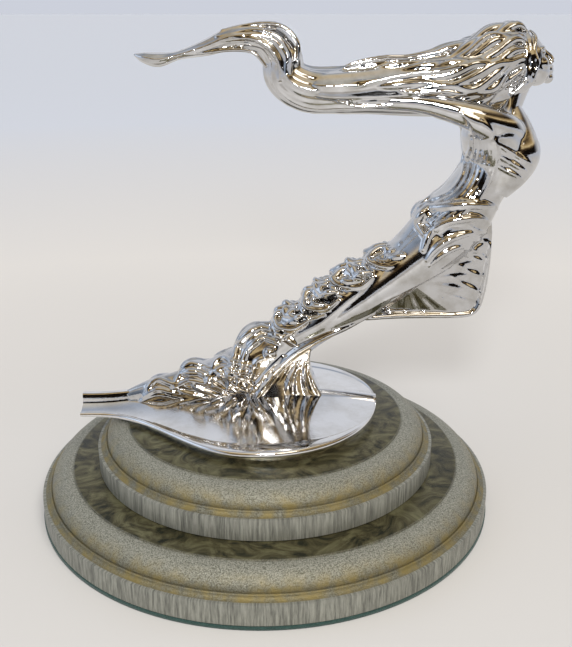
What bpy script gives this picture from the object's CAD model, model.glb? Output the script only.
# Chrome flying-figure hood ornament on a stepped, lacquered wooden plinth
import math
import bpy
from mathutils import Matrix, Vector
from mathutils.bvhtree import BVHTree


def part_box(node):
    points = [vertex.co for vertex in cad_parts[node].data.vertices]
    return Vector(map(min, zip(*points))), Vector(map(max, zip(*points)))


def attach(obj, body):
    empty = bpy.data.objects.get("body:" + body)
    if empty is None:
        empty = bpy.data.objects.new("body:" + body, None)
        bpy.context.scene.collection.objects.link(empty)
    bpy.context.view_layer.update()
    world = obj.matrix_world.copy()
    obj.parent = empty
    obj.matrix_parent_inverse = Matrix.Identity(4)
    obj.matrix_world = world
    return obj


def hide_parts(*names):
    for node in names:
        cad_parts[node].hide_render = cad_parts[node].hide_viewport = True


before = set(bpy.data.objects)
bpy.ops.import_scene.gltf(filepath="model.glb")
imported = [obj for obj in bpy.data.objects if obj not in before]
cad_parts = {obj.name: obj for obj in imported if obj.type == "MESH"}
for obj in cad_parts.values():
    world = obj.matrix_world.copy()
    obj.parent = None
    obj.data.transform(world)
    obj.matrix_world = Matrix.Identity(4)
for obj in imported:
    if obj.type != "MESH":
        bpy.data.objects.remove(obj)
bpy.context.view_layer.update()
mm = 0.001
root = "root"
both = (-1, 1)
mostTriangles = 190000
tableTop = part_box("upper_disc")[1].z  # the figure and its plate stand on this height


def toLinear(hexColour):
    channels = [int(hexColour[i:i + 2], 16) / 255 for i in (1, 3, 5)]
    return tuple(c / 12.92 if c <= 0.04045 else ((c + 0.055) / 1.055) ** 2.4 for c in channels) + (1.0,)


def addNode(tree, kind, settings=None, links=None):
    node = tree.nodes.new(kind)
    for name, value in (settings or {}).items():
        if isinstance(name, int) or name in node.inputs:
            node.inputs[name].default_value = value
        else:
            setattr(node, name, value)
    for socket, source in (links or {}).items():
        tree.links.new(source, node.inputs[socket])
    return node


def setRamp(node, stops):
    ramp = node.color_ramp
    while len(ramp.elements) < len(stops):
        ramp.elements.new(0.5)
    for element, (position, colour) in zip(ramp.elements, stops):
        element.position = position
        element.color = toLinear(colour) if isinstance(colour, str) else (colour, colour, colour, 1)


def clearSelection():
    if bpy.context.object and bpy.context.object.mode != "OBJECT":
        bpy.ops.object.mode_set(mode="OBJECT")
    bpy.ops.object.select_all(action="DESELECT")


def pick(piece):
    clearSelection()
    piece.select_set(True)
    bpy.context.view_layer.objects.active = piece


def joinPieces(pieces, name):
    clearSelection()
    for piece in pieces:
        piece.select_set(True)
    bpy.context.view_layer.objects.active = pieces[0]
    if len(pieces) > 1:
        bpy.ops.object.join()
    whole = bpy.context.object
    whole.name = name
    whole.data.name = name
    return whole


def applyModifier(piece, kind, **settings):
    pick(piece)
    modifier = piece.modifiers.new(kind.title(), kind)
    for name, value in settings.items():
        setattr(modifier, name, value)
    bpy.ops.object.modifier_apply(modifier=modifier.name)


def closeSeams(piece, mergeWithin=0.0):
    # joins doubled points and turns every face outward
    pick(piece)
    bpy.ops.object.mode_set(mode="EDIT")
    bpy.ops.mesh.select_all(action="SELECT")
    if mergeWithin:
        bpy.ops.mesh.remove_doubles(threshold=mergeWithin)
    bpy.ops.mesh.normals_make_consistent(inside=False)
    bpy.ops.object.mode_set(mode="OBJECT")


def dress(piece, material, nodes=()):
    piece.data.materials.clear()
    piece.data.materials.append(material)
    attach(piece, root)
    if nodes:
        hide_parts(*nodes)


def newMesh(name, points, faces):
    mesh = bpy.data.meshes.new(name)
    mesh.from_pydata(points, [], faces)
    mesh.update()
    piece = bpy.data.objects.new(name, mesh)
    bpy.context.scene.collection.objects.link(piece)
    return piece


def loft(name, rings):
    # closed skin through rings of equally many points
    count = len(rings[0])
    points = [p for ring in rings for p in ring]
    faces = [
        (i * count + k, i * count + (k + 1) % count, (i + 1) * count + (k + 1) % count, (i + 1) * count + k)
        for i in range(len(rings) - 1) for k in range(count)
    ]
    faces.append(tuple(reversed(range(count))))
    faces.append(tuple(range(len(points) - count, len(points))))
    return newMesh(name, points, faces)


def catmull(rows, perSpan):
    # rows of equal length, refined to a smooth run
    run = []
    for i in range(len(rows) - 1):
        a, b, c, d = rows[max(i - 1, 0)], rows[i], rows[i + 1], rows[min(i + 2, len(rows) - 1)]
        for k in range(perSpan):
            t = k / perSpan
            run.append([
                0.5 * (2 * q + (r - p) * t + (2 * p - 5 * q + 4 * r - s) * t * t
                       + (3 * q - p - 3 * r + s) * t ** 3)
                for p, q, r, s in zip(a, b, c, d)
            ])
    run.append(list(rows[-1]))
    return run


def sweepShape(name, rows, perSpan=8, around=64, relief=None):
    # rows of (x, height above the plinth, half-thickness in side view, half-width)
    run = catmull(rows, perSpan)
    rings = []
    for i, (x, z, thick, wide) in enumerate(run):
        before, after = run[max(i - 1, 0)], run[min(i + 1, len(run) - 1)]
        dx, dz = after[0] - before[0], after[1] - before[1]
        length = math.hypot(dx, dz) or 1
        dx, dz = dx / length, dz / length
        ring = []
        for k in range(around):
            a = 2 * math.pi * k / around
            swell = relief(i / (len(run) - 1), a) if relief else 1
            across, out = max(thick, 0.05) * swell * math.cos(a), max(wide, 0.05) * swell * math.sin(a)
            ring.append(((x - dz * across) * mm, out * mm, tableTop + (z + dx * across) * mm))
        rings.append(ring)
    return loft(name, rings)


def strand(name, points, around=14, perSpan=5, sides=(1,)):
    # tapering lock or fold through points of (x, y, height, half-width, half-thickness),
    # with its flat towards the sides of the figure
    made = []
    for side in sides:
        run = catmull(points, perSpan)
        rings = []
        for i, (x, y, z, wide, thick) in enumerate(run):
            before, after = run[max(i - 1, 0)], run[min(i + 1, len(run) - 1)]
            along = Vector([after[j] - before[j] for j in range(3)]).normalized()
            outwards = Vector((0, 1 if y >= 0 else -1, 0)) if abs(y) > 0.01 else Vector((0, 1, 0))
            across = along.cross(outwards)
            if across.length <= 0.2:
                across = along.cross(Vector((0, 0, 1)))
            across.normalize()
            normal = across.cross(along).normalized()
            ring = []
            for k in range(around):
                a = 2 * math.pi * k / around
                p = Vector((x, y, z)) + across * wide * math.cos(a) + normal * thick * math.sin(a)
                ring.append((p.x * mm, side * p.y * mm, tableTop + p.z * mm))
            rings.append(ring)
        made.append(loft(name, rings))
    return made


def skinOf(pieces):
    # search tree over all the faces of some pieces
    points, faces = [], []
    for piece in pieces:
        first = len(points)
        points += [v.co.copy() for v in piece.data.vertices]
        faces += [[first + i for i in face.vertices] for face in piece.data.polygons]
    return BVHTree.FromPolygons(points, faces)


def fold(name, skin, points, perSpan=6, around=12, sink=0.25):
    # tapering ridge that lies on the side of a skin; points of (x, height, half-width, half-thickness)
    rows = []
    for x, z, wide, thick in catmull(points, perSpan):
        start = Vector((x * mm, -60 * mm, tableTop + z * mm))
        hit = skin.ray_cast(start, Vector((0, 1, 0)))[0]
        if hit is not None and hit.y < 0.5 * mm:
            rows.append((x, max(-hit.y / mm - sink, 0.3), z, wide, thick))
    return strand(name, rows, around=around, perSpan=1, sides=both) if len(rows) > 2 else []


def blob(x, y, z, sizes, turn=0.0, sides=(1,)):
    # a swelling of half-sizes (x, y, z) in millimetres, turned about the y axis
    made = []
    for side in sides:
        clearSelection()
        bpy.ops.mesh.primitive_uv_sphere_add(
            segments=32, ring_count=20, radius=1, location=(x * mm, side * y * mm, tableTop + z * mm),
            rotation=(0, -math.radians(turn), 0), scale=[s * mm for s in sizes])
        bpy.ops.object.transform_apply(location=True, rotation=True, scale=True)
        made.append(bpy.context.object)
    return made


def fuse(pieces, name, voxel, smoothing):
    # one closed skin over overlapping pieces, thinned where it has more triangles than it needs
    whole = joinPieces(pieces, name)
    closeSeams(whole)
    applyModifier(whole, "REMESH", mode="VOXEL", voxel_size=voxel * mm, use_smooth_shade=True)
    applyModifier(whole, "SMOOTH", factor=0.5, iterations=smoothing)
    triangles = sum(len(face.vertices) - 2 for face in whole.data.polygons)
    if triangles > mostTriangles:
        applyModifier(whole, "DECIMATE", ratio=mostTriangles / triangles)
    pick(whole)
    bpy.ops.object.shade_smooth()
    return whole


print("materials")


def newMaterial(name):
    material = bpy.data.materials.new(name)
    material.use_nodes = True
    tree = material.node_tree
    tree.nodes.clear()
    output = addNode(tree, "ShaderNodeOutputMaterial")
    return material, tree, output


# Chrome plating over a polished die casting: mirror-bright, a little clouded and pitted with age
agedChromeLook = {"silver": "#d2d2d3", "cloud": "#b8b6b2", "roughLow": 0.045, "roughHigh": 0.13,
                  "cloudMm": 9.0, "pitMm": 0.7, "pitDepthMm": 0.06, "pitStrength": 0.25}


def agedChromePlate(name, look):
    material, tree, output = newMaterial(name)
    place = addNode(tree, "ShaderNodeTexCoord")
    clouds = addNode(tree, "ShaderNodeTexNoise", {"Scale": 1000 / look["cloudMm"], "Detail": 6.0,
                                                  "Roughness": 0.6},
                     {"Vector": place.outputs["Object"]})
    tint = addNode(tree, "ShaderNodeValToRGB", None, {"Fac": clouds.outputs["Fac"]})
    setRamp(tint, [(0.3, look["cloud"]), (0.55, look["silver"])])
    rough = addNode(tree, "ShaderNodeMapRange", {"From Min": 0.35, "From Max": 0.75,
                                                 "To Min": look["roughLow"], "To Max": look["roughHigh"]},
                    {"Value": clouds.outputs["Fac"]})
    pits = addNode(tree, "ShaderNodeTexNoise", {"Scale": 1000 / look["pitMm"], "Detail": 3.0},
                   {"Vector": place.outputs["Object"]})
    relief = addNode(tree, "ShaderNodeBump", {"Strength": look["pitStrength"],
                                              "Distance": look["pitDepthMm"] * mm},
                     {"Height": pits.outputs["Fac"]})
    shader = addNode(tree, "ShaderNodeBsdfPrincipled", {"Metallic": 1.0},
                     {"Base Color": tint.outputs["Color"], "Roughness": rough.outputs["Result"],
                      "Normal": relief.outputs["Normal"]})
    tree.links.new(shader.outputs["BSDF"], output.inputs["Surface"])
    return material


# Turned wood under a metallic lacquer rubbed with gilt: dark glossy flat, granular round, streaked wall
lacquerLook = {"dark": "#24261c", "olive": "#6c6a4f", "silver": "#a6a69b", "silverDark": "#64655a",
               "gilt": "#84784f", "giltDark": "#4e4a35", "wall": "#9fa097", "wallDark": "#6a6b65",
               "swirlMm": 14.0, "grainMm": 0.55, "streakMm": 0.8, "wanderMm": 6.0, "washFromMm": 8.5,
               "washFullMm": 3.5, "metallic": 0.5, "ior": 1.3, "roughRound": 0.42, "roughFlat": 0.3,
               "bumpRound": 0.9, "bumpFlat": 0.25, "bumpMm": 0.35, "edgeMm": 0.6}


def giltLacquer(name, look, flatRadius, ledgeHeight):
    material, tree, output = newMaterial(name)
    place = addNode(tree, "ShaderNodeTexCoord")
    point = place.outputs["Object"]
    split = addNode(tree, "ShaderNodeSeparateXYZ", None, {"Vector": point})
    level = addNode(tree, "ShaderNodeCombineXYZ", None, {"X": split.outputs["X"], "Y": split.outputs["Y"]})
    radius = addNode(tree, "ShaderNodeVectorMath", {"operation": "LENGTH"},
                     {"Vector": level.outputs["Vector"]})
    # angle round the disc, so that the wall's streaks stand upright
    turn = addNode(tree, "ShaderNodeMath", {"operation": "ARCTAN2"},
                   {0: split.outputs["Y"], 1: split.outputs["X"]})
    wander = addNode(tree, "ShaderNodeTexNoise", {"Scale": 1000 / look["wanderMm"], "Detail": 4.0},
                     {"Vector": point})
    swirl = addNode(tree, "ShaderNodeTexNoise",
                    {"Scale": 1000 / look["swirlMm"], "Detail": 5.0, "Roughness": 0.62, "Distortion": 2.4},
                    {"Vector": point})
    flatTint = addNode(tree, "ShaderNodeValToRGB", None, {"Fac": swirl.outputs["Fac"]})
    setRamp(flatTint, [(0.36, look["dark"]), (0.5, look["giltDark"]), (0.66, look["olive"])])
    grain = addNode(tree, "ShaderNodeTexNoise", {"Scale": 1000 / look["grainMm"], "Detail": 3.0,
                                                 "Roughness": 0.7},
                    {"Vector": point})
    roundTint = addNode(tree, "ShaderNodeValToRGB", None, {"Fac": grain.outputs["Fac"]})
    setRamp(roundTint, [(0.38, look["silverDark"]), (0.58, look["silver"])])
    giltTint = addNode(tree, "ShaderNodeValToRGB", None, {"Fac": wander.outputs["Fac"]})
    setRamp(giltTint, [(0.35, look["giltDark"]), (0.6, look["gilt"])])
    # the gilt wash lies low on the round, just above the ledge
    washHeight = addNode(tree, "ShaderNodeMapRange",
                         {"From Min": ledgeHeight + look["washFromMm"] * mm,
                          "From Max": ledgeHeight + look["washFullMm"] * mm}, {"Value": split.outputs["Z"]})
    wash = addNode(tree, "ShaderNodeMath", {"operation": "MULTIPLY", "use_clamp": True},
                   {0: washHeight.outputs["Result"], 1: wander.outputs["Fac"]})
    washStrong = addNode(tree, "ShaderNodeMath", {"operation": "MULTIPLY", 1: 1.5, "use_clamp": True},
                         {0: wash.outputs["Value"]})
    roundMix = addNode(tree, "ShaderNodeMix", {"data_type": "RGBA"},
                       {0: washStrong.outputs["Value"], 6: roundTint.outputs["Color"],
                        7: giltTint.outputs["Color"]})
    streakPoint = addNode(tree, "ShaderNodeCombineXYZ", None, {"X": turn.outputs["Value"]})
    streakLift = addNode(tree, "ShaderNodeMath", {"operation": "MULTIPLY", 1: 0.7}, {0: split.outputs["Z"]})
    tree.links.new(streakLift.outputs["Value"], streakPoint.inputs["Y"])
    streaks = addNode(tree, "ShaderNodeTexNoise",
                      {"Scale": flatRadius / mm / look["streakMm"], "Detail": 4.0, "Roughness": 0.7},
                      {"Vector": streakPoint.outputs["Vector"]})
    wallTint = addNode(tree, "ShaderNodeValToRGB", None, {"Fac": streaks.outputs["Fac"]})
    setRamp(wallTint, [(0.36, look["wallDark"]), (0.62, look["wall"])])
    isWall = addNode(tree, "ShaderNodeMath", {"operation": "LESS_THAN", 1: ledgeHeight + 0.1 * mm},
                     {0: split.outputs["Z"]})
    isFlat = addNode(tree, "ShaderNodeMapRange", {"From Min": flatRadius + look["edgeMm"] * mm,
                                                  "From Max": flatRadius - look["edgeMm"] * mm},
                     {"Value": radius.outputs["Value"]})
    topMix = addNode(tree, "ShaderNodeMix", {"data_type": "RGBA"},
                     {0: isFlat.outputs["Result"], 6: roundMix.outputs[2], 7: flatTint.outputs["Color"]})
    colour = addNode(tree, "ShaderNodeMix", {"data_type": "RGBA"},
                     {0: isWall.outputs["Value"], 6: topMix.outputs[2], 7: wallTint.outputs["Color"]})
    gloss = addNode(tree, "ShaderNodeMapRange", {"To Min": look["roughRound"], "To Max": look["roughFlat"]},
                    {"Value": isFlat.outputs["Result"]})
    bumpHeight = addNode(tree, "ShaderNodeMix", {"data_type": "FLOAT"},
                         {0: isWall.outputs["Value"], 2: grain.outputs["Fac"], 3: streaks.outputs["Fac"]})
    bumpSoft = addNode(tree, "ShaderNodeMapRange", {"To Min": look["bumpRound"], "To Max": look["bumpFlat"]},
                       {"Value": isFlat.outputs["Result"]})
    relief = addNode(tree, "ShaderNodeBump", {"Distance": look["bumpMm"] * mm},
                     {"Height": bumpHeight.outputs[0], "Strength": bumpSoft.outputs["Result"]})
    shader = addNode(tree, "ShaderNodeBsdfPrincipled",
                     {"Metallic": look["metallic"], "IOR": look["ior"]},
                     {"Base Color": colour.outputs[2], "Roughness": gloss.outputs["Result"],
                      "Normal": relief.outputs["Normal"]})
    tree.links.new(shader.outputs["BSDF"], output.inputs["Surface"])
    return material


# Wool felt, needle-punched: matt, with short crossing fibres
feltLook = {"deep": "#16302d", "lint": "#34544e", "fibreMm": 0.5}
woolFelt, tree, output = newMaterial("woolFelt")
place = addNode(tree, "ShaderNodeTexCoord")
fibres = addNode(tree, "ShaderNodeTexNoise", {"Scale": 1000 / feltLook["fibreMm"], "Detail": 5.0,
                                              "Distortion": 1.5},
                 {"Vector": place.outputs["Object"]})
tint = addNode(tree, "ShaderNodeValToRGB", None, {"Fac": fibres.outputs["Fac"]})
setRamp(tint, [(0.35, feltLook["deep"]), (0.7, feltLook["lint"])])
relief = addNode(tree, "ShaderNodeBump", {"Strength": 0.8, "Distance": 0.0003},
                 {"Height": fibres.outputs["Fac"]})
shader = addNode(tree, "ShaderNodeBsdfPrincipled", {"Roughness": 0.95, "Sheen Weight": 0.3},
                 {"Base Color": tint.outputs["Color"], "Normal": relief.outputs["Normal"]})
tree.links.new(shader.outputs["BSDF"], output.inputs["Surface"])

# Zinc-plated steel and plain brass hardware: bright with turning marks
hardwareLooks = {"zincPlatedSteel": {"light": "#b9bcc0", "dark": "#83868b", "rough": 0.32, "markMm": 0.8},
                 "turnedBrass": {"light": "#c9a765", "dark": "#8d6f38", "rough": 0.3, "markMm": 0.8}}
hardware = {}
for name, look in hardwareLooks.items():
    hardware[name], tree, output = newMaterial(name)
    place = addNode(tree, "ShaderNodeTexCoord")
    marks = addNode(tree, "ShaderNodeTexWave", {"bands_direction": "Z", "Scale": 1000 / look["markMm"] / 20,
                                                "Distortion": 1.0, "Detail": 2.0},
                    {"Vector": place.outputs["Object"]})
    tint = addNode(tree, "ShaderNodeValToRGB", None, {"Fac": marks.outputs["Fac"]})
    setRamp(tint, [(0.2, look["dark"]), (0.8, look["light"])])
    relief = addNode(tree, "ShaderNodeBump", {"Strength": 0.4, "Distance": 0.0001},
                     {"Height": marks.outputs["Fac"]})
    shader = addNode(tree, "ShaderNodeBsdfPrincipled", {"Metallic": 1.0, "Roughness": look["rough"]},
                     {"Base Color": tint.outputs["Color"], "Normal": relief.outputs["Normal"]})
    tree.links.new(shader.outputs["BSDF"], output.inputs["Surface"])

figureChrome = agedChromePlate("agedChromePlate", agedChromeLook)
plateLook = dict(agedChromeLook, silver="#ececed", cloud="#d9d7d4", roughLow=0.06, roughHigh=0.14,
                 cloudMm=16.0)
plateChrome = agedChromePlate("polishedChromePlate", plateLook)

print("base plate")
plate = {"frontX": 50.5, "widestX": 1.0, "tailX": -83.0, "halfWidth": 50.0, "tailHalfWidth": 9.0,
         "tailRim": 3.0, "frontRim": 6.6, "tailCrest": 6.2, "crest": 11.4, "skirtInset": 3.5, "flange": 0.15,
         "groove": 0.5, "ribHalf": 1.6, "ribLine": 1.1, "tailRib": 3.0, "ribEndX": -62.0, "ribFade": 14.0,
         "alongSteps": 150, "acrossSteps": 22, "evenPart": 0.4, "closingDegrees": 88.6}


def easeStep(t):
    t = min(1, max(0, t))
    return t * t * t * (t * (6 * t - 15) + 10)


def rimHalfWidth(x):
    if x < plate["widestX"]:
        t = (x - plate["tailX"]) / (plate["widestX"] - plate["tailX"])
        return plate["tailHalfWidth"] + (plate["halfWidth"] - plate["tailHalfWidth"]) * easeStep(t)
    t = (x - plate["widestX"]) / (plate["frontX"] - plate["widestX"])
    return plate["halfWidth"] * math.sqrt(max(0, 1 - t * t))


def crestHeight(x):
    t = (x - plate["tailX"]) / (plate["frontX"] - plate["tailX"])
    front = plate["frontRim"] + 0.4
    if t < 0.6:
        return plate["tailCrest"] + (plate["crest"] - plate["tailCrest"]) * easeStep(t / 0.45)
    return front + (plate["crest"] - front) * (1 - ((t - 0.6) / 0.4) ** 2)


def plateSection(x):
    # half of the section, from the foot of the skirt up over the rim flange to the rib
    w = rimHalfWidth(x)
    along = (x - plate["tailX"]) / (plate["frontX"] - plate["tailX"])
    z = plate["tailRim"] + (plate["frontRim"] - plate["tailRim"]) * along
    inset, inner, c = min(plate["skirtInset"], w * 0.3), w * (1 - plate["flange"]), crestHeight(x)
    half = [(w - inset, 0), (w - inset, z * 0.38)]
    half += [(w - inset * 0.7, z * 0.42), (w - inset * 0.15, z * 0.45), (w - inset * 0.02, z * 0.5),
             (w, z * 0.58)]
    roll = min(1.4, w * 0.2)
    for step in range(1, 7):
        a = math.pi / 2 * step / 6
        half.append((w - roll * (1 - math.cos(a)), z * 0.72 + z * 0.28 * math.sin(a)))
    half += [(inner + w * 0.03, z - 0.03), (inner + w * 0.02, z - 0.12),
             (inner + w * 0.006, z - plate["groove"] * 0.8), (inner - w * 0.004, z - plate["groove"])]
    for step in range(1, plate["acrossSteps"]):
        u = 1 - step / plate["acrossSteps"] * 0.97
        u = max(u, (plate["ribHalf"] + 0.4) / inner)
        half.append((inner * u, z - plate["groove"] * min(1, 0.5 + u * 0.5)
                     + (c - z) * (0.35 * (1 - u) + 0.65 * (1 - u) ** 2)))
    fade = easeStep((x - plate["ribEndX"]) / plate["ribFade"])
    rib = plate["ribLine"] + (plate["tailRib"] - plate["ribLine"]) * (1 - fade)
    half += [(plate["ribHalf"], c - 0.15), (plate["ribHalf"] - 0.1, c + rib * 0.8),
             (plate["ribHalf"] - 0.5, c + rib)]
    return half


def shareAlong(t):
    # even sections over the tail, then closer and closer ones towards the round front
    full = math.radians(plate["closingDegrees"])
    if t > plate["evenPart"]:
        return math.sin(full * t) / math.sin(full)
    return t * math.sin(full * plate["evenPart"]) / math.sin(full) / plate["evenPart"]


rings = []
for step in range(plate["alongSteps"] + 1):
    x = plate["tailX"] + (plate["frontX"] - plate["tailX"]) * shareAlong(step / plate["alongSteps"])
    x = min(x, plate["frontX"] - 0.07)
    half = plateSection(x)
    rings.append([(x * mm, -w * mm, tableTop + z * mm) for w, z in half]
                 + [(x * mm, w * mm, tableTop + z * mm) for w, z in reversed(half)])
plateShell = loft("base_plate_shell", rings)
closeSeams(plateShell, mergeWithin=0.01 * mm)
bpy.ops.object.shade_smooth_by_angle(angle=math.radians(38))
dress(plateShell, plateChrome, ["base_plate"])

print("figure: body and drapery")


def pleatedFan(name, rootX, rootZ, hem, rootHalf, hemHalf, pleats, depth, bow=0.0, rays=90, steps=18,
               fading=0.0):
    # closed sheet of cloth between a root point and a hem, with sharp ridges along its rays
    line = catmull(hem, 12)
    rings = []
    for i in range(rays + 1):
        spot = i / rays * (len(line) - 1)
        low = min(int(spot), len(line) - 2)
        part = spot - low
        hx = line[low][0] * (1 - part) + line[low + 1][0] * part
        hz = line[low][1] * (1 - part) + line[low + 1][1] * part
        spread = i / rays + 0.018 * math.sin(9.0 * i / rays) + 0.008 * math.sin(23.0 * i / rays)
        ridge = 0.5 + 0.5 * math.cos(2 * math.pi * pleats * spread)
        ridge *= 0.7 + 0.3 * math.sin(17.0 * i / rays)
        ridge *= 1 - fading * easeStep(i / rays * 1.3)
        edge = []
        for step in range(steps + 1):
            t = step / steps
            swell = max(0, math.sin(math.pi * min(1, t ** 2.4 * 1.04)))
            half = rootHalf * (1 - t) + hemHalf + depth * swell * ridge
            edge.append((rootX + (hx - rootX) * t - bow * math.sin(math.pi * t), half,
                         rootZ + (hz - rootZ) * t))
        rings.append([(x * mm, -y * mm, tableTop + z * mm) for x, y, z in edge]
                     + [(x * mm, y * mm, tableTop + z * mm) for x, y, z in reversed(edge)])
    return loft(name, rings)


body = {"voxelMm": 0.5, "smoothing": 5}
# rows of (x, height, half-thickness, half-width)
torsoRows = [[76, 84, 13, 14.5], [84, 94, 13, 14], [90, 104, 11.5, 12.5], [95, 112, 11.5, 13.5],
             [96, 119, 13, 16], [94, 127, 12.5, 17.5], [94, 133, 9.5, 14], [98, 139, 6.2, 7.5],
             [102, 147, 6, 6.2]]
legRows = [[92, 100, 7, 9], [86, 93, 11.5, 13], [74, 81, 12.5, 14.5], [60, 69, 11.2, 13.5],
           [46, 58, 9.6, 12.2], [32, 48, 8.4, 11.2], [21, 40, 7.4, 10], [12, 31, 7, 8.6], [6, 20, 7, 7],
           [3, 7, 7.4, 6.4]]
trainRows = [[70, 88, 7, 8], [60, 75, 7.5, 10], [48, 65, 8, 11], [36, 56, 7.5, 11], [24, 45, 8, 11],
             [12, 36, 9, 9], [0, 27.5, 10.5, 8.8], [-12, 20, 10.8, 8.4], [-25, 14.5, 10, 7.6],
             [-38, 11, 8.8, 6.2], [-50, 8.5, 7.6, 4.6], [-62, 5, 5.4, 2.3]]
drape = [sweepShape("torso", torsoRows), sweepShape("legs", legRows), sweepShape("train", trainRows)]
drape += strand("bust", [(100, 3.2, 137, 3.2, 3.4), (101.8, 4.6, 130, 6, 6), (102.6, 5.8, 123.5, 8.4, 8),
                         (102.8, 6.6, 118, 9.6, 8.8), (100.2, 6.4, 111.5, 8.6, 8),
                         (95.5, 5.4, 104, 6.4, 6.6)],
                around=36, perSpan=8, sides=both)
# concave sweep from the underside of the hair into the back
drape += strand("back_sweep", [(64, 4, 139.5, 2.4, 4), (74, 5.5, 138.2, 3, 5), (82.5, 7, 134.4, 4, 6),
                               (87.8, 8, 127.6, 4.2, 6.4), (90.6, 7, 120, 3.8, 5), (92, 6, 112, 2.6, 3),
                               (92.5, 5, 105, 1, 1)], around=30, perSpan=8, sides=both)

# arms swept back, smooth under the edge of the hair
drape += strand("arm", [(104, 5, 121, 2.5, 2.5), (101, 8.5, 124.5, 5.6, 4.4), (96, 12, 129, 6.2, 5),
                        (87, 13.4, 132.5, 6, 5), (76, 12.6, 136, 5, 4.6), (62, 10, 138.8, 4, 4),
                        (44, 7.5, 139.4, 3.4, 3.6), (30, 5, 139.8, 2.6, 3)],
                around=32, perSpan=8, sides=both)

drape += blob(68, 0, 91, (5, 8, 5.5))
drape += blob(78, 0, 96, (9, 10, 7.5), turn=25)
drape.append(pleatedFan("skirt_fan", 60, 66, [
    [96, 92], [97, 85], [97, 78], [96, 70], [95.5, 63], [94.5, 56], [93, 50.5], [87, 47.2], [77, 47.4],
    [66, 47.4], [54, 47.2], [44, 47]], 8.5, 2.0, 12, 1.5, rays=120, fading=0.8))
drape += strand("skirt_hem", [(96.6, 2.2, 80, 0.7, 0.8), (96, 2.4, 68, 1, 1), (94.6, 2.4, 56, 1.1, 1.1),
                              (92, 2.4, 49.4, 1.2, 1.2), (86, 2.6, 47.6, 1.3, 1.3), (72, 3.2, 47.7, 1.3, 1.3),
                              (56, 4.2, 47.7, 1.3, 1.3), (44, 5.5, 47, 1, 1)], sides=both)
skin = skinOf(drape)
# fine pleats down the back, gathered to a knot at the hip
for j in range(7):
    q = (j - 0.6) / 6
    drape += fold("back_pleat", skin, [
        (77.5 + 9 * q, 136 - 3.4 * q, 0.4, 0.5), (82.4 + 8 * q, 131 - 3 * q, 0.8, 1.0),
        (84.4 + 8.6 * q, 124 - 2 * q, 0.85, 1.15), (84.4 + 9.4 * q, 116, 0.85, 1.2),
        (82.2 + 10.4 * q, 108.6, 0.85, 1.2), (77.8 + 11 * q, 102.6 - 1.5 * q, 0.9, 1.2),
        (71 + 10 * q, 98.2 - 4 * q, 0.9, 1.2), (65.6 + 8 * q, 94.4 - 7 * q, 0.6, 0.8)], sink=0)
for points in (
    [(95, 97.5, 0.5, 0.6), (90, 98.5, 1.6, 1.5), (82, 98.8, 2.1, 2), (74, 97, 2.1, 2.1), (67, 94.6, 2, 2.1),
     (64.6, 90, 1.8, 2), (67, 85.5, 1.2, 1.5)],
    [(93, 91.5, 0.5, 0.5), (87, 93.4, 1.4, 1.3), (79, 92.6, 1.7, 1.6), (72.5, 90, 1.7, 1.7),
     (68.5, 85.6, 1.6, 1.6), (66, 79.5, 0.9, 1)],
    [(90, 86, 0.4, 0.4), (84.5, 87, 1.2, 1.1), (77.5, 85, 1.4, 1.3), (71.5, 81, 1.3, 1.3),
     (67.5, 75.5, 0.7, 0.8)],
    [(85, 80.6, 0.4, 0.4), (80, 81, 1, 1), (74, 78, 1.1, 1.1), (69, 73, 0.6, 0.6)],
):
    drape += fold("hip_fold", skin, points, sink=0)
# crinkles at the side of the hip, slanting out over the front of the skirt
for j in range(7):
    z = 95 - 5.0 * j + 0.9 * math.sin(5 * j)
    reach = 7.5 + 2.5 * math.sin(2.3 * j + 1)
    drape += fold("hip_crinkle", skin, [(91 - reach - 0.3 * j, z + 0.3 * reach, 0.4, 0.4),
                                        (91 - 0.5 * reach - 0.3 * j, z - 0.1 * reach, 0.9, 0.9),
                                        (93.4 - 0.4 * j, z - 0.5 * reach, 0.7, 0.8),
                                        (96 - 0.3 * j, z - 0.8 * reach, 0.3, 0.3)])
# creases that run from the armpit over the bust
for j in range(3):
    drape += fold("bust_crease", skin, [(91 + 0.6 * j, 124.6 - 4.2 * j, 0.4, 0.5),
                                        (95.5, 122 - 4 * j, 0.8, 0.9), (101, 118.9 - 3.8 * j, 0.85, 1),
                                        (106 - 0.6 * j, 116 - 3.6 * j, 0.6, 0.7),
                                        (108.6 - j, 114.4 - 3.4 * j, 0.25, 0.3)], sink=0.1)
# long folds that leave the thigh and run on along the skirt
for j in range(5):
    drape += fold("thigh_fold", skin, [(40 + 6 * j, 50 + 3.8 * j, 0.4, 0.4),
                                       (50 + 6 * j, 56.5 + 3.2 * j, 0.7, 0.8),
                                       (61 + 5 * j, 62.4 + 2.6 * j, 0.7, 0.7),
                                       (70 + 4.5 * j, 65.5 + 2 * j, 0.3, 0.3)])
# pair of little crossing wrinkles on the front of the hip
for z in (104, 99.5):
    drape += fold("waist_crease", skin, [(93, z, 0.3, 0.3), (96, z - 2.4, 0.6, 0.7),
                                         (98.5, z - 5.4, 0.3, 0.3)])

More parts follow.
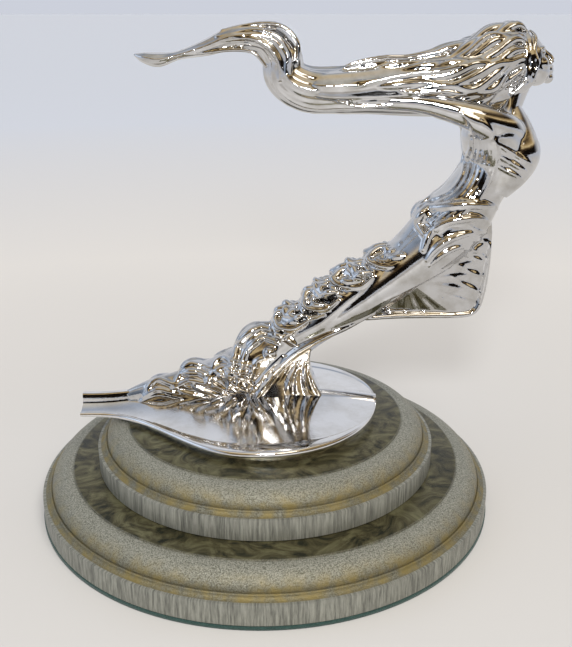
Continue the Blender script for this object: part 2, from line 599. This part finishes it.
# curled ruffles that step down the back of the legs: top corner of each, then its size
ruffles = [(59, 82.5, 0.85), (52, 78, 0.5), (45, 77, 0.9), (37, 70.5, 0.5), (30.5, 68, 0.95), (23, 62, 0.5),
           (17, 57.5, 0.85), (10, 51, 0.5), (4.5, 48.5, 0.85)]
for i, (x, z, s) in enumerate(ruffles):
    drape += blob(x + 4 * s, 0, z - 5 * s, (6 * s, 7 * s, 5 * s), turn=20)
    for curl, points in enumerate((
        [(x + 12 * s, 2, z + 2.5 * s, 0.8, 1), (x + 4 * s, 2.5, z, 1.5, 1.6), (x, 4, z - 1.5 * s, 1.6, 1.7),
         (x, 6, z - 5 * s, 1.5, 1.6), (x + 4 * s, 8.6, z - 7.5 * s, 1.4, 1.5),
         (x + 12 * s, 10.6, z - 6 * s, 1.4, 1.4), (x + 20 * s, 11, z - 1 * s, 0.7, 0.8)],
        [(x + 12 * s, 5, z - 0.5 * s, 0.6, 0.8), (x + 6 * s, 6, z - 2 * s, 1.2, 1.3),
         (x + 4 * s, 7.4, z - 4 * s, 1.1, 1.2), (x + 8 * s, 9.4, z - 5 * s, 1.1, 1.2),
         (x + 15 * s, 10.5, z - 2.5 * s, 0.6, 0.7)],
        [(x + 3 * s, 2, z - 3 * s, 1.2, 1.3), (x - 1.5 * s, 4, z - 7.5 * s, 1.5, 1.5),
         (x - 0.5 * s, 7, z - 11 * s, 1.4, 1.4), (x + 5 * s, 9.6, z - 12 * s, 1.1, 1.2),
         (x + 12 * s, 10.8, z - 10 * s, 0.6, 0.6)],
    )):
        wave = [(x + 0.84 * (px - x) + 0.9 * math.sin(2.7 * i + 1.9 * k + curl),
                 0.94 * py + 0.4 * math.sin(1.7 * i + k), z + 0.76 * (pz - z)
                 + 0.7 * math.sin(3.1 * i + 2.3 * k + 2 * curl), w * (0.92 + 0.22 * math.sin(4.3 * i + k)), t)
                for k, (px, py, pz, w, t) in enumerate(points)]
        drape += strand("ruffle", wave, sides=both)

# small fan of cloth round the ankles
drape.append(pleatedFan("ankle_fan", 21, 36, [[-2, 8.5], [5, 8.5], [12, 8.5], [19, 8.5], [26, 8.8]], 6, 3.6,
                        5, 2.2, bow=3.0))
# heel: a small ball under an arched fold, with the cloth fanning down to the plate on both sides
drape += blob(-2, 0, 20, (12, 7.4, 14), turn=-12)
drape += blob(-3.4, 0, 33.2, (8.6, 6.4, 8.8))
skin = skinOf(drape)
drape += blob(2.4, 9.6, 32.6, (2.6, 2.4, 2.6), sides=both)
for points in (
    [(-16, 15, 1.0, 1.2), (-14, 26, 1.6, 1.8), (-10, 36.5, 1.7, 1.9), (-3, 41.4, 1.7, 1.9),
     (6, 40.4, 1.6, 1.8), (14, 36, 0.8, 1)],
    [(-12, 13, 0.8, 1), (-10.5, 24, 1.3, 1.5), (-6.6, 33.6, 1.3, 1.5), (-0.5, 37.8, 1.2, 1.4),
     (7, 36.8, 0.7, 0.8)],
    [(-7.5, 12, 0.7, 0.8), (-6.5, 20, 1.1, 1.3), (-3.6, 27.6, 1.1, 1.3), (0.5, 30, 0.9, 1)],
    # from the underside of the leg over the ankle to the plate
    [(48, 50.5, 0.6, 0.7), (36, 44.6, 1.4, 1.6), (25, 39.6, 1.7, 2), (14, 32.8, 1.9, 2.2), (5, 23.6, 2, 2.3),
     (-1.5, 13.4, 1.8, 2), (-4, 8.6, 1.4, 1.6)],
    [(8, 31, 0.5, 0.6), (2, 24, 1.1, 1.3), (-3.6, 16.4, 1.2, 1.4), (-7, 10, 0.9, 1)],
):
    drape += fold("heel_fold", skin, points, sink=0)
for j in range(5):
    drape += fold("train_fan", skin, [(-16 - 6 * j, 28 - 3.4 * j, 0.4, 0.5),
                                      (-12 - 6 * j, 23.4 - 2.8 * j, 1, 1.2),
                                      (-6.5 - 6 * j, 17.8 - 1.7 * j, 1.1, 1.3),
                                      (-1 - 6 * j, 12.4 - 0.5 * j, 0.8, 0.9)], sink=0)
# the train's layered folds, down to the tail of the plate
trainSteps = [(-20, 28.5, 8), (-35, 25, 7), (-50, 17, 5)]
for x, z, wide in trainSteps:
    drape += blob(x + 4, 0, z - 5, (7, wide * 0.72, 5))
skin = skinOf(drape)
for i, (x, z, _) in enumerate(trainSteps):
    for j in range(3):
        drop = 3.2 * j + 0.5 * math.sin(3 * i + 2 * j)
        drape += fold("train_fold", skin, [
            (x + 17 - 2 * j, z - 2.6 - drop, 0.4, 0.5), (x + 9, z - 1.6 - drop, 1.1, 1.2),
            (x + 2, z - 0.6 - drop, 1.3, 1.3), (x - 2.4 - j, z - 3.6 - drop, 1.2, 1.2),
            (x - 3 - 2 * j, z - 7.4 - 0.6 * drop, 0.7, 0.8)], sink=0)
figureBody = fuse(drape, "figure_body", body["voxelMm"], body["smoothing"])

print("figure: head")
head = {"x": 105.2, "z": 153.6, "high": 24.0, "tiltDegrees": 24.0, "voxelMm": 0.26, "smoothing": 7}
tilt = math.radians(head["tiltDegrees"])


def onHead(forward, side, up):
    # a point of the head in shares of its height, turned to the head's tilt
    x = head["x"] + head["high"] * (forward * math.cos(tilt) - up * math.sin(tilt))
    z = head["z"] + head["high"] * (forward * math.sin(tilt) + up * math.cos(tilt))
    return x, side * head["high"], z


def headBlob(forward, side, up, sizes, lean=0.0, sides=(1,)):
    x, y, z = onHead(forward, side, up)
    return blob(x, y, z, [s * head["high"] for s in sizes], turn=head["tiltDegrees"] + lean, sides=sides)


# skull and jaw
face = headBlob(-0.06, 0, 0.09, (0.4, 0.33, 0.41))
face += headBlob(0.09, 0, -0.14, (0.26, 0.26, 0.3), lean=8)
# chin, cheeks and the mound behind the lips
face += headBlob(0.245, 0, -0.375, (0.1, 0.12, 0.1))
face += headBlob(0.18, 0.13, -0.11, (0.14, 0.12, 0.15), sides=both)
face += headBlob(0.235, 0, -0.32, (0.085, 0.11, 0.1))
face += headBlob(0.27, 0, -0.245, (0.115, 0.14, 0.13))
# brows over lidded eyes
face += headBlob(0.25, 0.11, 0.13, (0.09, 0.12, 0.045), sides=both)
face += headBlob(0.25, 0.13, 0.035, (0.062, 0.062, 0.036), sides=both)
face += headBlob(0.262, 0.13, 0.052, (0.058, 0.072, 0.017), sides=both)
# nose: one straight wedge from the brow to a rounded tip, with small wings
nosePath = []
for forward, up, wide, thick in ((0.31, 0.1, 1.1, 1.0), (0.34, 0.02, 1.1, 0.9), (0.385, -0.07, 1.25, 1.15),
                                 (0.402, -0.145, 1.25, 1.2)):
    x, y, z = onHead(forward, 0, up)
    nosePath.append((x, 0, z, wide, thick))
face += strand("nose", nosePath, around=24, perSpan=6)
face += headBlob(0.375, 0.045, -0.16, (0.05, 0.036, 0.034), sides=both)
# upper and lower lip
face += headBlob(0.345, 0, -0.232, (0.05, 0.095, 0.026))
face += headBlob(0.332, 0, -0.284, (0.052, 0.08, 0.028))
face.append(sweepShape("neck", [[96, 132, 7.4, 10], [98.6, 137.5, 6.4, 7.6], [101.2, 143.5, 5.8, 6.2],
                                [103.4, 149, 5.6, 6], [104, 154, 5, 5.4]]))
figureHead = fuse(face, "figure_head", head["voxelMm"], head["smoothing"])

print("figure: hair")
hair = {"voxelMm": 0.42, "smoothing": 3, "locksPerSide": 13, "endSize": 0.25, "endSink": 0.13, "faceWaves": 3}


def streamRelief(s, a):
    wave = 0.35 * math.sin(2 * math.pi * 2.1 * s) + 0.2 * math.sin(2 * math.pi * 5 * s + 2 * a)
    broad = 1 - abs(math.sin(4 * a + wave + 1.2 * s))
    fine = 1 - abs(math.sin(11 * a + 2 * wave))
    return 1 + 0.11 * broad + 0.035 * fine - 0.06


streamRows = [[96, 150, 13, 10], [84, 147, 14.5, 12], [72, 145.3, 12.4, 12.8], [58, 144.2, 11, 11.8],
              [44, 143.4, 9.6, 11], [30, 142.8, 9, 10.4], [18, 143.3, 8.8, 9.8], [9.5, 148, 8.2, 9.2],
              [7.6, 156, 7.8, 8.8], [1, 162.3, 6, 8.2], [-11, 162.8, 4.6, 7.4], [-22, 159.2, 3.1, 6.2],
              [-33, 156.3, 1.7, 5.2], [-41, 154.6, 2.7, 5.4], [-47, 155.4, 2.0, 4.2], [-51, 156.6, 0.4, 1]]
outerRows = [[92, 148, 12, 11], [84, 147, 14.2, 13.4], [70, 145.3, 11.6, 14], [56, 144.5, 10, 13.2],
             [42, 144, 8.6, 12.4], [30, 143.8, 7.8, 11.8], [22, 144, 6.6, 10.8], [18.4, 144.6, 4, 8.2],
             [17.4, 145, 1.5, 3.5]]
tress = [sweepShape("hair_stream", streamRows, perSpan=12, around=120, relief=streamRelief),
         sweepShape("hair_outer", outerRows, perSpan=12, around=120,
                    relief=lambda s, a: 1 + 0.08 * (1 - abs(math.sin(5 * a + 0.5 * math.sin(7 * s)))) - 0.04)]
# ridges round the curl and along the tail
for points in (
    [(-34, 3.6, 156, 0.5, 0.6), (-22, 5.2, 157.4, 0.7, 0.8), (-11, 6.6, 158.6, 0.8, 0.9),
     (-3, 7.8, 157.5, 0.8, 1), (2, 8.4, 152, 0.7, 0.8)],
    [(-16, 3.4, 165.8, 0.4, 0.6), (-1, 4.4, 168.3, 0.8, 1), (8.5, 5.4, 167, 0.9, 1.1),
     (14.2, 6.4, 161, 0.9, 1.1), (14, 7.4, 153, 0.5, 0.7)],
    [(-18, 5, 163.4, 0.4, 0.6), (-3, 6.6, 166, 0.8, 1), (6, 7.6, 163.6, 0.9, 1.1), (10.8, 8.2, 157.5, 0.9, 1),
     (11, 8.4, 150, 0.5, 0.7)],
    [(-20, 5.6, 161, 0.4, 0.6), (-6, 7.4, 163, 0.8, 1), (2, 8.4, 160.4, 0.9, 1), (6.6, 8.8, 154.5, 0.8, 1),
     (7, 8.8, 147, 0.5, 0.7)],
):
    tress += strand("curl_ridge", points, sides=both)
tress += headBlob(-0.24, 0, 0.13, (0.4, 0.37, 0.43))
# stations along the head and the stream: x, centre height, half-thickness, half-width, size of a lock there
lockStations = [(97.5, 154.5, 12.6, 10.2, 1.7), (90, 150.5, 14.2, 12, 2.1), (82, 147.3, 14.6, 13.6, 2.0),
                (73, 145.8, 12.4, 14, 1.8), (62, 145, 10.6, 13.4, 1.5), (51, 144.4, 9.6, 12.9, 1.3),
                (40, 144, 8.6, 12.3, 1.1), (29, 143.8, 7.9, 11.7, 0.9)]
for j in range(hair["locksPerSide"]):
    q = j / (hair["locksPerSide"] - 1)
    phase = 1.9 * j
    startForward, startUp = 0.2 - 0.3 * q ** 1.3, 0.47 - 0.66 * q
    startSide = 0.05 + 0.3 * math.sin(math.pi * min(q, 0.75) / 1.5)
    x0, y0, z0 = onHead(startForward, startSide, startUp)
    points = [(x0 - 1, y0, z0, 0.4, 0.5)]
    reach = lockStations[:5 + (7 * j) % 4]
    for k, (x, centreZ, thick, wide, size) in enumerate(reach):
        around = math.radians(10 + 146 * q)
        sway = 1.7 * math.sin(phase + 2.1 * k) * (1 if k < 4 else 0.2)
        isLast = k == len(reach) - 1
        size *= hair["endSize"] if isLast else 1
        out = 1 - hair["endSink"] if isLast else 1
        points.append((x + (2.2 - 6 * q if k == 0 else 0), wide * math.sin(around) * out,
                       centreZ + thick * math.cos(around) * out + sway, size, size * (1 if k < 4 else 0.7)))
    tress += strand("lock", points, around=16, perSpan=7, sides=both)
    if j % 2:
        shifted = [(x - 2.5, y * 1.02, z + 2.2 * math.sin(phase + k), w * 0.55, t * 0.8)
                   for k, (x, y, z, w, t) in enumerate(points)]
        tress += strand("thin_lock", shifted, around=12, perSpan=7, sides=both)
# long waves that frame the face; (forward, side, up) in shares of the head's height, and size
hairline = [(0.2, 0.1, 0.47, 0.5), (0.2, 0.24, 0.34, 1), (0.12, 0.31, 0.16, 1.25), (0.07, 0.34, -0.02, 1.25),
            (0.0, 0.36, -0.18, 1.2), (-0.14, 0.37, -0.3, 1.1), (-0.34, 0.4, -0.36, 0.5)]
for j in range(hair["faceWaves"]):
    rows = []
    for k, (forward, side, up, size) in enumerate(hairline):
        x, y, z = onHead(forward - 0.075 * j + 0.018 * math.sin(2.6 * k + 1.4 * j), side + 0.012 * j,
                         up + 0.02 * j)
        rows.append((x, y, z, 0.85 * size, 1.05 * size))
    tress += strand("face_wave", rows, around=14, sides=both)
figureHair = fuse(tress, "figure_hair", hair["voxelMm"], hair["smoothing"])
for piece in (figureBody, figureHead, figureHair):
    dress(piece, figureChrome, ["figure"])

print("plinth")
discLooks = {"upper_disc": "upper_wood", "lower_disc": "lower_wood"}
turned = {"edgeRound": 0.4, "quirk": 0.5, "beadRadius": 0.55, "ledgeWidth": 3.1, "ledgeDrop": 1.7,
          "routWidth": 14.0, "routHeight": 9.6, "steps": 192}
for node, slotName in discLooks.items():
    low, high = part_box(node)
    r = (high.x - low.x) / 2 / mm
    flat = r - turned["routWidth"]
    t = (high.z - low.z) / mm
    roundWide = turned["routWidth"] - turned["ledgeWidth"] - 2 * turned["beadRadius"]
    roundHigh = turned["routHeight"] - turned["ledgeDrop"] - turned["quirk"] - turned["beadRadius"]
    ledge = t - turned["routHeight"]
    edge = turned["edgeRound"]
    outline = [(0, 0), (r - edge, 0), (r, edge), (r, ledge - 0.35), (r - 0.12, ledge - 0.08),
               (r - edge, ledge)]
    for step in range(1, 9):
        a = math.pi / 2 * step / 8
        outline.append((r - edge - (turned["ledgeWidth"] - edge) * math.sin(a),
                        ledge + turned["ledgeDrop"] * (1 - math.cos(a))))
    for step in range(1, 9):
        a = math.pi * step / 8
        outline.append((r - turned["ledgeWidth"] - turned["beadRadius"] * (1 - math.cos(a)),
                        ledge + turned["ledgeDrop"] + turned["beadRadius"] * math.sin(a)))
    for step in range(1, 17):
        a = math.pi / 2 * step / 16
        outline.append((flat + roundWide * math.cos(a), t - turned["quirk"] - roundHigh * (1 - math.sin(a))))
    outline += [(flat - 0.15, t - 0.1), (flat - 0.5, t), (flat * 0.66, t), (flat * 0.33, t), (0, t)]
    mesh = bpy.data.meshes.new(node + "_turned")
    mesh.from_pydata([(x * mm, 0, low.z + z * mm) for x, z in outline],
                     [(i, i + 1) for i in range(len(outline) - 1)], [])
    disc = bpy.data.objects.new(node + "_turned", mesh)
    bpy.context.scene.collection.objects.link(disc)
    pick(disc)
    bpy.ops.object.mode_set(mode="EDIT")
    bpy.ops.mesh.select_all(action="SELECT")
    bpy.ops.mesh.spin(steps=turned["steps"], angle=2 * math.pi, center=(0, 0, 0), axis=(0, 0, 1))
    closeSeams(disc, mergeWithin=0.02 * mm)
    bpy.ops.object.shade_smooth_by_angle(angle=math.radians(30))
    lacquer = giltLacquer("giltLacquer_" + node, lacquerLook, flat * mm, low.z + ledge * mm)
    dress(disc, lacquer, [node])

low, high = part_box("felt_pad")
clearSelection()
bpy.ops.mesh.primitive_cylinder_add(vertices=192, radius=(high.x - low.x) / 2, depth=high.z - low.z,
                                    location=(0, 0, (low.z + high.z) / 2))
bpy.ops.object.transform_apply(location=True)
felt = bpy.context.object
felt.name = felt.data.name = "felt_underside"
applyModifier(felt, "BEVEL", width=0.0004, segments=3, limit_method="ANGLE")
pick(felt)
bpy.ops.object.shade_smooth_by_angle(angle=math.radians(40))
dress(felt, woolFelt, ["felt_pad"])

print("fasteners")
for node, name in {"mounting_studs": "zincPlatedSteel", "stud_washers": "zincPlatedSteel",
                   "stud_nuts": "zincPlatedSteel", "figure_screws": "zincPlatedSteel",
                   "disc_screws": "turnedBrass"}.items():
    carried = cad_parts[node]
    carried.data.materials.clear()
    carried.data.materials.append(hardware[name])

print("stage, light and camera")
stage = {"floorNear": "#c4c3c2", "floor": "#edeceb", "floorFar": "#e7effe", "sun": 1.15, "keyWatts": 0.8,
         "fillWatts": 0.5,
         "flashWatts": 1.7, "worldStrength": 0.95, "backdrop": "#d1d5e0"}
clearSelection()
bpy.ops.mesh.primitive_circle_add(vertices=96, radius=40, fill_type="NGON", location=(0, 0, 0))
floor = bpy.context.object
floor.name = "floor"
clothPaper, tree, output = newMaterial("clothPaper")
place = addNode(tree, "ShaderNodeTexCoord")
# a little darker in front of the plinth, paler all round in the distance
shift = addNode(tree, "ShaderNodeVectorMath", {"operation": "ADD", 1: (0.0, 0.35, 0.0)},
                {0: place.outputs["Object"]})
away = addNode(tree, "ShaderNodeVectorMath", {"operation": "LENGTH"}, {0: shift.outputs["Vector"]})
depth = addNode(tree, "ShaderNodeMapRange", {"From Min": 0.25, "From Max": 1.75},
                {"Value": away.outputs["Value"]})
tint = addNode(tree, "ShaderNodeValToRGB", None, {"Fac": depth.outputs["Result"]})
setRamp(tint, [(0.0, stage["floorNear"]), (0.34, stage["floor"]), (1.0, stage["floorFar"])])
shader = addNode(tree, "ShaderNodeBsdfPrincipled", {"Roughness": 0.8}, {"Base Color": tint.outputs["Color"]})
tree.links.new(shader.outputs["BSDF"], output.inputs["Surface"])
floor.data.materials.append(clothPaper)

world = bpy.data.worlds.new("studio")
bpy.context.scene.world = world
world.use_nodes = True
tree = world.node_tree
tree.nodes.clear()
output = addNode(tree, "ShaderNodeOutputWorld")
place = addNode(tree, "ShaderNodeTexCoord")
split = addNode(tree, "ShaderNodeSeparateXYZ", None, {"Vector": place.outputs["Generated"]})
# the dim warm room in front of the object, the pale sheet behind it
room = addNode(tree, "ShaderNodeValToRGB", None, {"Fac": split.outputs["Z"]})
setRamp(room, [(0.0, "#17120e"), (0.24, "#130f0c"), (0.33, "#6a5438"), (0.4, "#f4d9a4"), (0.5, "#b7996a"),
               (0.59, "#2a2119"), (0.72, "#6d5b45"), (0.84, "#eacf9f"), (1.0, "#dcd7cc")])
sheet = addNode(tree, "ShaderNodeValToRGB", None, {"Fac": split.outputs["Z"]})
setRamp(sheet, [(0.0, "#e2e3e7"), (0.62, "#dfe1e7"), (0.84, "#a3abb9"), (1.0, "#c9c6bd")])
behind = addNode(tree, "ShaderNodeMapRange", {"From Min": -0.15, "From Max": 0.35},
                 {"Value": split.outputs["Y"]})
around = addNode(tree, "ShaderNodeMix", {"data_type": "RGBA"},
                 {0: behind.outputs["Result"], 6: room.outputs["Color"], 7: sheet.outputs["Color"]})
windowSide = addNode(tree, "ShaderNodeMapRange", {"From Min": -0.55, "From Max": -0.85},
                     {"Value": split.outputs["X"]})
bluish = addNode(tree, "ShaderNodeMix", {"data_type": "RGBA", 7: toLinear("#b4c3d8")},
                 {0: windowSide.outputs["Result"], 6: around.outputs[2]})
seen = addNode(tree, "ShaderNodeLightPath")
backdrop = addNode(tree, "ShaderNodeMix", {"data_type": "RGBA", 7: toLinear(stage["backdrop"])},
                   {0: seen.outputs["Is Camera Ray"], 6: bluish.outputs[2]})
glow = addNode(tree, "ShaderNodeBackground", {"Strength": stage["worldStrength"]},
               {"Color": backdrop.outputs[2]})
tree.links.new(glow.outputs["Background"], output.inputs["Surface"])


def softLight(name, place, aim, size, watts, colour):
    clearSelection()
    bpy.ops.object.light_add(type="AREA", location=place)
    light = bpy.context.object
    light.name = name
    light.data.size = size
    light.data.energy = watts
    light.data.color = toLinear(colour)[:3]
    light.rotation_euler = (Vector(aim) - Vector(place)).to_track_quat("-Z", "Y").to_euler()


softLight("keyLight", (0.3, -0.75, 0.8), (0, 0, 0.08), 0.3, stage["keyWatts"], "#fff4e2")
softLight("fillLight", (-0.95, -0.1, 0.5), (0, 0, 0.1), 0.5, stage["fillWatts"], "#e2ebfa")
softLight("flashLight", (0.0, -0.45, 0.36), (0.02, 0, 0.03), 0.07, stage["flashWatts"], "#ffffff")
clearSelection()
bpy.ops.object.light_add(type="SUN", location=(0.4, -0.6, 1.2))
sun = bpy.context.object
sun.name = "roomLight"
sun.data.energy = stage["sun"]
sun.data.angle = math.radians(30)
sun.rotation_euler = Vector((0.35, -0.55, 1.0)).to_track_quat("Z", "Y").to_euler()
sun.visible_glossy = False

view = {"place": (0.0095, -0.3581, 0.2131), "aim": (0.0095, 0.0, 0.0822), "lens": 47.9}
bpy.ops.object.camera_add(location=view["place"])
camera = bpy.context.object
camera.name = "camera"
camera.data.lens = view["lens"]
camera.data.sensor_width = 36
camera.data.sensor_fit = "AUTO"
camera.data.clip_start = 0.01
camera.rotation_euler = (Vector(view["aim"]) - Vector(view["place"])).to_track_quat("-Z", "Y").to_euler()
bpy.context.scene.camera = camera
bpy.context.scene.view_settings.view_transform = "Standard"

print("sizes")
